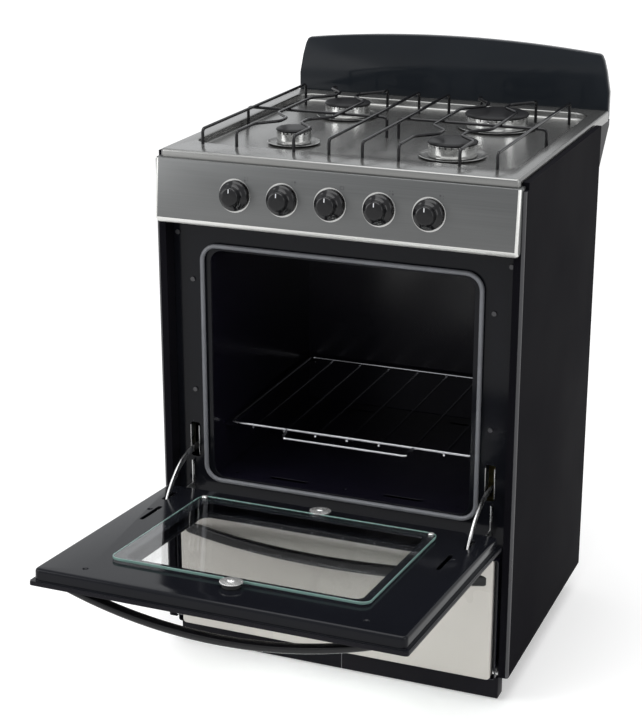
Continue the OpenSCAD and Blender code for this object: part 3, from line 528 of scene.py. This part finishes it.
# %% [markdown]
# ## The oven door's inner face
# The inside of the door is one enamelled pressing: a thin flange all round, and a shallow box with rolled edges that
# reaches into the oven's mouth. Slots let the hinge arms and catches through, and each side has two small dimples.
# It is made closed, where its sides are upright, and then swung open about the hinge.

# %% Inner face of the door
DOOR_Z, DOOR_H = 277.3, 415
DOOR_TOP = DOOR_Z + DOOR_H
ARM_X = 236
SLOTS = [(ARM_X, 317.3, 357.3, 8), (225, 386.3, 450.3, 7)]
DIMPLES = [(200, 381), (234, 127)]


def door_window():
    """The opening under the inner pane."""
    return soft_block(spot(-172, -9, 341.8), spot(172, 25, 602.8), 1, 0.012)


flange = soft_block(spot(-267.5, -2.9, DOOR_Z + 0.5), spot(267.5, -1.7, DOOR_TOP - 0.5), 1, 0.0045)
pressing = soft_block(spot(-263.6, -2.8, DOOR_Z + 8), spot(263.6, 15, DOOR_TOP - 4.5), 1, 0.009, 0.0048, 8, 5)
hollow = soft_block(spot(-253, -9, DOOR_Z + 18), spot(253, 12.4, DOOR_TOP - 19), 1, 0.008)
cut(pressing, hollow, door_window())
cut(flange, door_window())
for side in (-1, 1):
    for x, z0, z1, wide in SLOTS:
        lo, hi = sorted((side * x - wide / 2, side * x + wide / 2))
        cut(pressing, soft_block(spot(lo, 8, z0), spot(hi, 25, z1), 1, wide / 2100))
    for shell in (pressing, flange):
        cut(shell, plain_block(spot(side * ARM_X - 4, -9, 270), spot(side * ARM_X + 4, 7, 301)))
    for u, v in DIMPLES:
        start()
        bpy.ops.mesh.primitive_uv_sphere_add(segments=24, ring_count=12, radius=0.007,
                                             location=spot(side * u, 20.2, DOOR_Z + v))
        bpy.ops.object.transform_apply(location=True, rotation=True, scale=True)
        cut(pressing, bpy.context.object)
inner_face = join(pressing, flange)
smooth(inner_face, 30)
swing_open(inner_face)
done(inner_face, "door_inner_pressing", frame_enamel, "oven_door", "door_inner_panel")

# %% [markdown]
# ## The door's glass
# Toughened glass is ground round at its edge, so the edge shows as a pale green line. The pane is a soft block whose
# rims are both bevelled, and the bevels and sides get a greener, frosted glass.

# %% Inner pane
edge_glass = finish("ground_glass_edge", (0.26, 0.43, 0.39), 0.30, spread=0.05, shade=0.05,
                    Transmission_Weight=0.3, IOR=1.45)
pane = soft_block(spot(-187, 17, 326.8), spot(187, 21, 617.8), 1, 0.014, 0.0007, 8, 2, "both")
swing_open(pane)
done(pane, "door_inner_pane", door_glass, "oven_door", "door_inner_glass")
pane_normal = Matrix.Rotation(OPEN, 3, "X") @ Vector((0, 1, 0))
second_finish(pane, edge_glass, lambda n, c: abs(n.dot(pane_normal)) < 0.95)
print("edge faces", sum(p.material_index for p in pane.data.polygons))

# %% [markdown]
# ## Control panel
# The panel is one folded sheet of brushed steel that leans back a little. Its lower edge is rolled under, and both
# ends wrap round the body. A block's top front edge is pushed back for the lean, the folds are bevelled to the roll's
# radius, the back is opened, and the sheet gets its thickness and its holes for the valve stems.

# %% Control panel
LEAN = math.radians(5.7)
LEAN_BACK = Matrix.Rotation(-LEAN, 4, "X")
KNOB_X = [i * 73.3 for i in range(-2, 3)]
KNOB_UP, SIGN_UP, SIGN_ASIDE = 51, 76, 17
PANEL_X, PANEL_LOW, PANEL_HIGH = 275.4, 694.7, 790.8
PANEL_Z0, PANEL_Z1 = spot(0, 0, PANEL_LOW).z, spot(0, 0, PANEL_HIGH).z


def level(points, z):
    """True where all of an edge's points lie at one height."""
    return all(near(p.z, z) for p in points)


def panel_spot(x, out, up):
    """A point on the leaning control panel: x, distance in front of it, height along it."""
    return spot(x, -17.4 - out * math.cos(LEAN) + up * math.sin(LEAN),
                694.578 + out * math.sin(LEAN) + up * math.cos(LEAN))


panel = plain_block(spot(-PANEL_X, -17.3, PANEL_LOW), spot(PANEL_X, 13, PANEL_HIGH))
pick(panel, "VERT", lambda p, n: p[0].y < FRONT and near(p[0].z, PANEL_Z1))
bpy.ops.transform.translate(value=(0, 0.0096, 0))
pick(panel, "EDGE", lambda p, n: level(p, PANEL_Z0) and p[0].y < FRONT and p[1].y < FRONT)
bpy.ops.mesh.bevel(offset=0.0115, segments=8, affect="EDGES")
pick(panel, "EDGE", lambda p, n: near(abs(p[0].x), PANEL_X / 1000) and near(p[0].x, p[1].x)
     and min(p[0].y, p[1].y) < FRONT and not level(p, PANEL_Z1))
bpy.ops.mesh.bevel(offset=0.0064, segments=6, affect="EDGES")
pick(panel, "EDGE", lambda p, n: level(p, PANEL_Z1) and min(p[0].y, p[1].y) < FRONT)
bpy.ops.mesh.bevel(offset=0.0012, segments=2, affect="EDGES")
sheet_shell(panel, lambda p, n: n.y > 0.9)
for x in KNOB_X:
    hole = drill((0, 0, 0), 0.0065, 0.03)
    turn = Matrix.Rotation(math.radians(90) - LEAN, 4, "X")
    hole.data.transform(Matrix.Translation(panel_spot(x, 0, KNOB_UP)) @ turn)
    cut(panel, hole)
smooth(panel, 30)
done(panel, "control_panel_skin", brushed_steel, "cooker", "control_panel")
panel_normal = Vector((0, -math.cos(LEAN), math.sin(LEAN)))
# Painted highlight: the rolled lower edge gets the lighter steel, which stands for the light it catches.
second_finish(panel, painted_roll_highlight, lambda n, c: n.dot(panel_normal) < 0.985 and abs(n.x) < 0.80
              and c.y < FRONT and n.z < 0.3)

# %% [markdown]
# ## Hob
# The hob is pressed from one sheet: a plain band at the front, a sunk pan that catches spills, and edges turned down
# all round. The press's stamp is a second block with rounded edges; cut out of the first it leaves the pan. Then the
# pan's rim gets its radius, the underside is opened, and the sheet gets its thickness.

# %% Hob
HOB_TOP, PAN_TOP = spot(0, 0, HOB_Z).z, spot(0, 0, PAN_Z).z
BURNERS = [(-BURNER_X, BURNER_FRONT, 54), (BURNER_X, BURNER_FRONT, 74),
           (-BURNER_X, BURNER_REAR, 74), (BURNER_X, BURNER_REAR, 100)]


def on_rim(p):
    """True for a point near the hob's outer edge, corners included."""
    return abs(p.x) > 0.255 or p.y < FRONT + 0.010 or p.y > FRONT + 0.510


hob = soft_block(spot(-270.5, -1, 786.3), spot(270.5, 525, HOB_Z), 2, 0.007, 0.0034, 6, 4)
cut(hob, soft_block(spot(-247, 61, PAN_Z), spot(247, 487, 815), 2, 0.026, 0.004, 8, 4, "low"))
pick(hob, "EDGE", lambda p, n: level(p, HOB_TOP) and not on_rim(p[0]) and not on_rim(p[1]))
bpy.ops.mesh.bevel(offset=0.0022, segments=3, affect="EDGES")
sheet_shell(hob, lambda p, n: n.z < -0.9 and p[0].z < PAN_TOP - 0.003)
cut(hob, plain_block(spot(-275, -4, 780), spot(275, 8.2, 791)))
for x, y, d in BURNERS:
    cut(hob, drill(spot(x, y, PAN_Z), 0.0155, 0.02))
smooth(hob, 30)
done(hob, "hob_pressing", hob_steel, "cooker", "hob_top")
# Painted light: the hob's rims and sloping faces get the second steel tone, set to the light they show.
second_finish(hob, rim_painted_light, lambda n, c: on_rim(c) and n.z < 0.985 or 0.1 < n.z < 0.98)

# %% [markdown]
# ## Turned pieces
# Knobs, clip washers and burner caps are round. Each is drawn out of one disc: extrude a little, scale a little,
# again and again, as a potter pulls up a wall. The list of radii and heights is the piece's profile.

# %% Turned piece
def turned(profile, place, tilt=0.0, sides=64):
    """A solid of revolution about +Z from (radius, height) in millimetres, turned about X and placed."""
    start()
    bpy.ops.mesh.primitive_circle_add(vertices=sides, radius=profile[0][0] / 1000, fill_type="NGON")
    obj = bpy.context.object
    bpy.ops.object.mode_set(mode="EDIT")
    bpy.ops.mesh.select_mode(type="FACE")
    bpy.ops.mesh.select_all(action="SELECT")
    bpy.ops.transform.translate(value=(0, 0, profile[0][1] / 1000))
    for (r0, z0), (r1, z1) in zip(profile, profile[1:]):
        bpy.ops.mesh.extrude_region_move(TRANSFORM_OT_translate={"value": (0, 0, (z1 - z0) / 1000)})
        bpy.ops.transform.resize(value=(r1 / r0, r1 / r0, 1), center_override=(0, 0, z1 / 1000))
    bpy.ops.mesh.select_all(action="SELECT")
    bpy.ops.mesh.normals_make_consistent(inside=False)
    start()
    obj.data.transform(Matrix.Translation(place) @ Matrix.Rotation(tilt, 4, "X"))
    return obj


print("turning ready")

# %% [markdown]
# ## Knobs
# Each knob has a low skirt that flows up to a plain round grip. A fine chrome bar on the grip is a painted
# highlight, standing for the small highlight seen on each knob. The knob stands a few millimetres off the panel,
# because it has to be pressed before it turns.

# %% Knobs
KNOB_PROFILE = [(20.6, 4.3), (21.8, 4.9), (22, 6.0), (21.7, 7.2), (20.6, 8.3), (18.4, 9.6), (16.2, 11.0),
                (14.7, 12.6), (14.1, 14.5), (13.9, 20), (13.5, 21.8), (12.4, 22.9), (10.5, 23.3), (4, 23.3)]
for i, x in enumerate(KNOB_X, 1):
    knob = turned(KNOB_PROFILE, panel_spot(x, 0, KNOB_UP), math.radians(90) - LEAN)
    smooth(knob, 40)
    done(knob, f"knob_{i}_grip", black_plastic, f"turning_knob_{i}", f"knob_{i}")
    # Painted highlight: a small chrome bar on the grip stands for the highlight on each knob.
    glint_bar = soft_block((-0.0007, -0.0004, 0.0060), (0.0007, 0.0001, 0.0120), 1, 0.0006, 0.0, 3)
    glint_bar.data.transform(Matrix.Translation(panel_spot(x, KNOB_PROFILE[-1][1], KNOB_UP)) @ LEAN_BACK)
    done(glint_bar, f"knob_{i}_mark", chrome, f"turning_knob_{i}")

# %% [markdown]
# ### Printed marks
# Beside each knob the panel carries a plain printed sign: four dots for the four burners, the large dot being the
# one that the knob feeds, and a small frame for the oven.

# %% Printed marks
printed_grey = finish("printed_grey", (0.045, 0.045, 0.048), 0.5, spread=0.05)
signs = []
for i, x in enumerate(KNOB_X):
    if i == 2:
        sign = soft_block((-0.0032, -0.00012, -0.0025), (0.0032, 0.00005, 0.0025), 1, 0.0006, 0.0, 3)
        cut(sign, soft_block((-0.0024, -0.001, -0.0017), (0.0024, 0.001, 0.0017), 1, 0.0004, 0.0, 3))
        parts = [sign]
    else:
        big = [0, 2, None, 3, 1][i]
        parts = []
        for k, (u, v) in enumerate(((-2.2, -2), (-2.2, 2), (2.2, 2), (2.2, -2))):
            r = 1.5 if k == big else 0.7
            dot = turned([(r, 0), (r, 0.12), (r * 0.8, 0.15)], (u / 1000, 0, v / 1000), math.radians(90), 20)
            parts.append(dot)
    for part in parts:
        part.data.transform(Matrix.Translation(panel_spot(x + SIGN_ASIDE, 0, SIGN_UP)) @ LEAN_BACK)
    signs += parts
print_marks = join(*signs)
done(print_marks, "burner_signs", printed_grey, "cooker")

# %% [markdown]
# ## Bent wires
# The pan supports and the oven rack are bent from round wire. One vertex is extruded from bend to bend, each bend
# is rounded by a vertex bevel, and the path becomes a curve with a round section and then a mesh. The door's seal
# is drawn the same way.

# %% Wire
def wire(points, thick, bend=6.0):
    """A bent round wire through points in metres; thick and bend are in millimetres."""
    start()
    bpy.ops.mesh.primitive_plane_add(size=0.01, location=(0, 0, 0))
    obj = bpy.context.object
    bpy.ops.object.mode_set(mode="EDIT")
    bpy.ops.mesh.select_mode(type="VERT")
    bpy.ops.mesh.select_all(action="SELECT")
    bpy.ops.mesh.merge(type="CENTER")
    bpy.ops.transform.translate(value=points[0])
    for a, b in zip(points, points[1:]):
        bpy.ops.mesh.extrude_region_move(TRANSFORM_OT_translate={"value": b - a})
    if len(points) > 2:
        pick(obj, "VERT", lambda p, n: any((p[0] - q).length < 1e-5 for q in points[1:-1]))
        bpy.ops.mesh.bevel(offset=bend / 1000, segments=6, affect="VERTICES")
    start()
    bpy.context.view_layer.objects.active = obj
    obj.select_set(True)
    bpy.ops.object.convert(target="CURVE")
    obj.data.bevel_depth = thick / 2000
    obj.data.bevel_resolution = 3
    obj.data.use_fill_caps = True
    bpy.ops.object.convert(target="MESH")
    obj = bpy.context.object
    bpy.ops.object.mode_set(mode="EDIT")
    bpy.ops.mesh.select_all(action="SELECT")
    bpy.ops.mesh.remove_doubles(threshold=1e-6)
    bpy.ops.mesh.normals_make_consistent(inside=False)
    start()
    return obj


print("wire ready")

# %% [markdown]
# ## Pan supports
# Each support carries two pans: two straight outer bars, two inner bars that step in beside each burner, and a cross
# bar below them. The bars' ends turn down as legs; the front legs stand on the plain band of the hob.

# %% Pan supports
BARS, BAND, PAN = 825, HOB_Z + 0.2, PAN_Z + 0.2
LEG_FRONT, LEG_REAR, CROSS_Y, CROSS_OUT = 48, 446, 247.5, 115.5


def support(x):
    """One pan support over the burners at x."""
    wires = []
    y0, y1 = LEG_FRONT, LEG_REAR
    for s in (-1, 1):
        out, far, close = x + s * 99.5, x + s * 45, x + s * 17
        wires.append([(out, y0, BAND), (out, y0, BARS), (out, y1, BARS), (out, y1, PAN)])
        path = [(far, y0, BAND), (far, y0, BARS)]
        for y in (BURNER_FRONT, BURNER_REAR):
            path += [(far, y - 45, BARS), (close, y - 13, BARS), (close, y + 13, BARS), (far, y + 45, BARS)]
        wires.append(path + [(far, y1, BARS), (far, y1, PAN)])
    low, x0, x1 = BARS - 4, x - CROSS_OUT, x + CROSS_OUT
    wires.append([(x0, CROSS_Y, PAN), (x0, CROSS_Y, low), (x1, CROSS_Y, low), (x1, CROSS_Y, PAN)])
    return join(*[wire([spot(*p) for p in w], 4.8) for w in wires])


for x, name in ((-BURNER_X, "left"), (BURNER_X, "right")):
    bars = support(x)
    smooth(bars, 50)
    done(bars, f"pan_support_{name}", wire_enamel, "cooker", f"grate_{name}")

# %% [markdown]
# ## Oven rack
# The rack is a wire frame with seven thinner wires across it, and a low bar at the front that stops a dish from
# sliding. The thin wires are welded under the frame, so their ends show as small bright dots.

# %% Oven rack
RACK_X, RACK_FRONT, RACK_REAR, RACK_Z = 196.5, 69, 401.5, 363
corners = [(RACK_X, RACK_FRONT), (RACK_X, RACK_REAR), (-RACK_X, RACK_REAR), (-RACK_X, RACK_FRONT)]
rim = [(0, RACK_FRONT), *corners, (0, RACK_FRONT)]
low_bar = [(-103, RACK_FRONT, RACK_Z), (-99, 45, RACK_Z - 5), (99, 45, RACK_Z - 5), (103, RACK_FRONT, RACK_Z)]
parts = [wire([spot(x, y, RACK_Z) for x, y in rim], 5, 8), wire([spot(*p) for p in low_bar], 4.2, 5)]
for i in range(-3, 4):
    parts.append(wire([spot(i * 51.5 - 3, y, RACK_Z - 3.2) for y in (66, 404)], 3.4))
rack = join(*parts)
smooth(rack, 50)
done(rack, "oven_rack_wires", rack_chrome, "cooker", "oven_rack")

# %% [markdown]
# ## Door seal
# The seal is a soft tube clipped round the oven's mouth. It is drawn as a bent wire is, only thicker and with wide
# bends, and its two ends meet at the bottom.

# %% Door seal
SEAL_Z0, SEAL_Z1, SEAL_X = 283.8, 657.5, 216.5
loop = [(0, SEAL_Z0), (SEAL_X, SEAL_Z0), (SEAL_X, SEAL_Z1), (-SEAL_X, SEAL_Z1), (-SEAL_X, SEAL_Z0), (0, SEAL_Z0)]
seal = wire([spot(x, 20, z) for x, z in loop], 7, 24)
smooth(seal, 60)
done(seal, "door_seal_tube", seal_rubber, "cooker", "door_gasket")

# %% [markdown]
# ## Burner caps and saucers
# The caps are pressed and enamelled, so their rims are round and their tops almost flat. The saucers are spun rings
# of the pan's steel that stand a little proud of the pan; their raised lip carries a painted highlight, a brighter
# metal that stands for the light the lip catches.

# %% Burner caps and saucers
CAP_RIM = [(-3.0, 0), (-0.8, 0.4), (0, 1.3), (0, 2.2), (-0.7, 3.3), (-2.6, 4.2), (-6, 4.7)]
SAUCER_RIM = [(4, 0.2), (9.6, 0.5), (12.2, 2.4), (13, 3.4), (12.2, 3.7), (9.4, 2.0), (5, 1.3)]
CAP_NODES = ["front_left", "front_right", "rear_left", "rear_right"]
# Height above which each saucer carries the painted highlight.
SAUCER_HIGHLIGHT_Z = spot(0, 0, PAN_Z + 3).z
saucers = []
for (x, y, d), where in zip(BURNERS, CAP_NODES):
    r = d / 2
    cap = turned([(r + a, b) for a, b in CAP_RIM] + [(r * 0.3, 4.8)], spot(x, y, 810.2), 0.0, 96)
    smooth(cap, 40)
    done(cap, f"cap_{where}", cap_enamel, "cooker", f"burner_cap_{where}")
    lip = [(r + a, b) for a, b in SAUCER_RIM] + [(r * 0.5, 1.3)]
    ring = turned(lip, spot(x, y, PAN_Z), 0.0, 96)
    cut(ring, drill(spot(x, y, PAN_Z), 0.012, 0.02))
    saucers.append(ring)
saucer = join(*saucers)
smooth(saucer, 40)
done(saucer, "burner_saucer_rings", hob_steel, "cooker", "burner_saucers")
# Painted highlight: each saucer's faces above that height get the brighter metal, standing for the light the lip
# catches.
second_finish(saucer, bezel_metal_and_lip_highlight, lambda n, c: c.z > SAUCER_HIGHLIGHT_Z)

# %% [markdown]
# ## Handles
# Both handles are plain bows. A rounded section is spun about the bow's centre, which is how a bar bent to an arc is
# drawn, and the ends are then cut off flat where they meet the door.

# %% Handles
BAR_HIGH, BAR_THICK, BAR_ROUND = 0.018, 0.010, 0.0038


def bow_handle(width, face, height, rise=35.0):
    """A bowed bar between two ends on a flat face; all in millimetres."""
    radius = (width ** 2 / 4 + rise ** 2) / (2 * rise)
    half = math.asin(width / 2 / radius) + 0.03
    centre = spot(0, face - rise + radius, height)
    start()
    middle = spot(0, face - rise, height)
    bpy.ops.mesh.primitive_plane_add(size=1, location=middle, rotation=(0, math.pi / 2, 0))
    obj = bpy.context.object
    obj.scale = (BAR_HIGH, BAR_THICK, 1)
    bpy.ops.object.transform_apply(location=True, rotation=True, scale=True)
    pick(obj, "VERT", lambda p, n: True)
    bpy.ops.mesh.bevel(offset=BAR_ROUND, segments=4, affect="VERTICES")
    start()
    obj.data.transform(Matrix.Translation(centre) @ Matrix.Rotation(half, 4, "Z") @ Matrix.Translation(-centre))
    pick(obj, "FACE", lambda p, n: True)
    bpy.ops.mesh.delete(type="ONLY_FACE")
    pick(obj, "EDGE", lambda p, n: True)
    bpy.ops.mesh.spin(steps=60, angle=2 * half, center=centre, axis=(0, 0, 1))
    bpy.ops.mesh.select_all(action="SELECT")
    bpy.ops.mesh.bisect(plane_co=spot(0, face - 0.05, height), plane_no=(0, 1, 0), use_fill=True,
                        clear_outer=True)
    bpy.ops.mesh.select_all(action="SELECT")
    bpy.ops.mesh.normals_make_consistent(inside=False)
    start()
    return obj


grip = bow_handle(440, -8, DOOR_TOP - 20)
smooth(grip, 40)
swing_open(grip)
done(grip, "door_handle_bow", black_plastic, "oven_door", "door_handle", "door_handle_ends")
low_grip = bow_handle(454, -4, 201)
smooth(low_grip, 40)
done(low_grip, "lower_handle_bow", black_plastic, "lower_door", "lower_door_handle", "lower_handle_ends")

# %% [markdown]
# ## Side panels and lower door
# A side panel is folded inwards at the front and at the top, and its front fold is rounded. The flat side carries
# painted shade, a darker and almost unreflecting enamel, and the fold carries a painted highlight, a lighter and
# glossier enamel on its faces. The lower door is a shallow tray of pale enamelled sheet. Both start as blocks with
# rounded edges, which are opened and given the sheet's thickness.

# %% Side panels and lower door
for side, name in ((-1, "left"), (1, "right")):
    lo, hi = sorted((side * FOLD_X, side * SIDE_X))
    wall = plain_block(spot(lo, 0, SIDE_LOW), spot(hi, SIDE_DEPTH, FOLD_TOP))
    lo, hi = sorted((side * 240, side * 271.3))
    cut(wall, plain_block(spot(lo, -9, BODY_TOP), spot(hi, 440, 800)),
        plain_block(spot(-290, -9, BODY_TOP), spot(290, 14, 800)))
    edge_x = side * SIDE_X / 1000
    pick(wall, "EDGE", lambda p, n: all(near(v.x, edge_x) and near(v.y, FRONT) for v in p))
    bpy.ops.mesh.bevel(offset=0.0042, segments=5, affect="EDGES")
    sheet_shell(wall, lambda p, n: n.z < -0.9 or n.y > 0.9)
    smooth(wall, 30)
    # Painted shade: the side panel gets the darker, almost unreflecting enamel.
    done(wall, f"side_{name}_fold", shaded_side_enamel, "cooker", f"side_panel_{name}")
    # Painted highlight: the rounded front fold's faces get the lighter, glossier enamel.
    second_finish(wall, screw_black_and_fold_highlight, lambda n, c: n.y < -0.15 and n.x * side > 0.15)
tray = soft_block(spot(-253, -4, 39.6), spot(253, 7, 237.6), 1, 0.006, 0.0022, 5, 3, "low")
sheet_shell(tray, lambda p, n: n.y > 0.9)
smooth(tray, 30)
done(tray, "lower_door_face", pale_enamel, "lower_door", "lower_door_panel")

# %% [markdown]
# ## Clips
# Two large washers hold the inner pane at its middle, each under a round screw, and two small screws hold its
# corners by the hinge. Under each washer a black spacer pad reaches down to the pressing; its black is partly
# painted shade, standing for the shade beneath the washer.

# %% Glass clips
WASHER = [(5, 0.1), (5, 6.1), (15.2, 6.1), (16, 6.6), (15.9, 7.2), (14.5, 7.7), (7, 7.9), (5.4, 8.4), (5.0, 9.2),
          (4.2, 9.7), (1, 9.8)]
STUD = [(4.2, 6.1), (4.5, 6.4), (4.5, 7.4), (3.8, 8.1), (1, 8.2)]
PAD = [(12.6, 0.1), (12.6, 5.8), (12.0, 6.05)]
clips, pads = [], []
for z in (315.3, 629.3):
    clip = turned(WASHER, spot(0, 15, z), math.radians(-90))
    cut(clip, plain_block(spot(-3.2, 23.9, z - 0.5), spot(3.2, 25.5, z + 0.5)),
        plain_block(spot(-0.5, 23.9, z - 3.2), spot(0.5, 25.5, z + 3.2)))
    clips.append(clip)
    # Painted shade: the black pad under each washer stands partly for the shade beneath it.
    pads.append(turned(PAD, spot(0, 15, z), math.radians(-90)))
for side in (-1, 1):
    clips.append(turned(STUD, spot(side * 178, 15, 335.8), math.radians(-90), 32))
clip_set = join(*clips)
smooth(clip_set, 35)
swing_open(clip_set)
done(clip_set, "pane_clips", clip_zinc, "oven_door", "glass_clips")
pad_set = join(*pads)
smooth(pad_set, 35)
swing_open(pad_set)
done(pad_set, "clip_pads_and_shade", foot_rubber, "oven_door")

# %% [markdown]
# ## Softened solids
# Some solids already have the right shape and lack only the small radius that every real edge has. A copy of the
# solid's mesh has its doubles merged and its flat faces joined, and a Bevel modifier then rounds its sharp edges.

# %% Softened solids
def softened(node, name, material, body, radius, segments=2):
    """A copy of a solid with its sharp edges rounded, which stands for the solid."""
    start()
    obj = bpy.data.objects.new(name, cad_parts[node].data.copy())
    scene.collection.objects.link(obj)
    pick(obj, "VERT", lambda p, n: True)
    bpy.ops.mesh.remove_doubles(threshold=1e-6)
    bpy.ops.mesh.dissolve_limited(angle_limit=math.radians(0.5))
    modify(obj, "BEVEL", width=radius, segments=segments, limit_method="ANGLE", angle_limit=math.radians(40))
    smooth(obj, 35)
    done(obj, name, material, body, node)


softened("backguard", "backguard_soft", guard_enamel, "cooker", 0.0022, 3)
softened("door_outer_panel", "door_outer_soft", black_enamel, "oven_door", 0.0006)
softened("hinge_brackets", "hinge_brackets_soft", zinc_plate, "cooker", 0.0003)
for side in ("left", "right"):
    softened(f"hinge_arm_{side}", f"hinge_arm_{side}_soft", zinc_plate, "oven_door", 0.0006)
    softened(f"plinth_{side}", f"plinth_{side}_soft", black_enamel, "cooker", 0.0008)
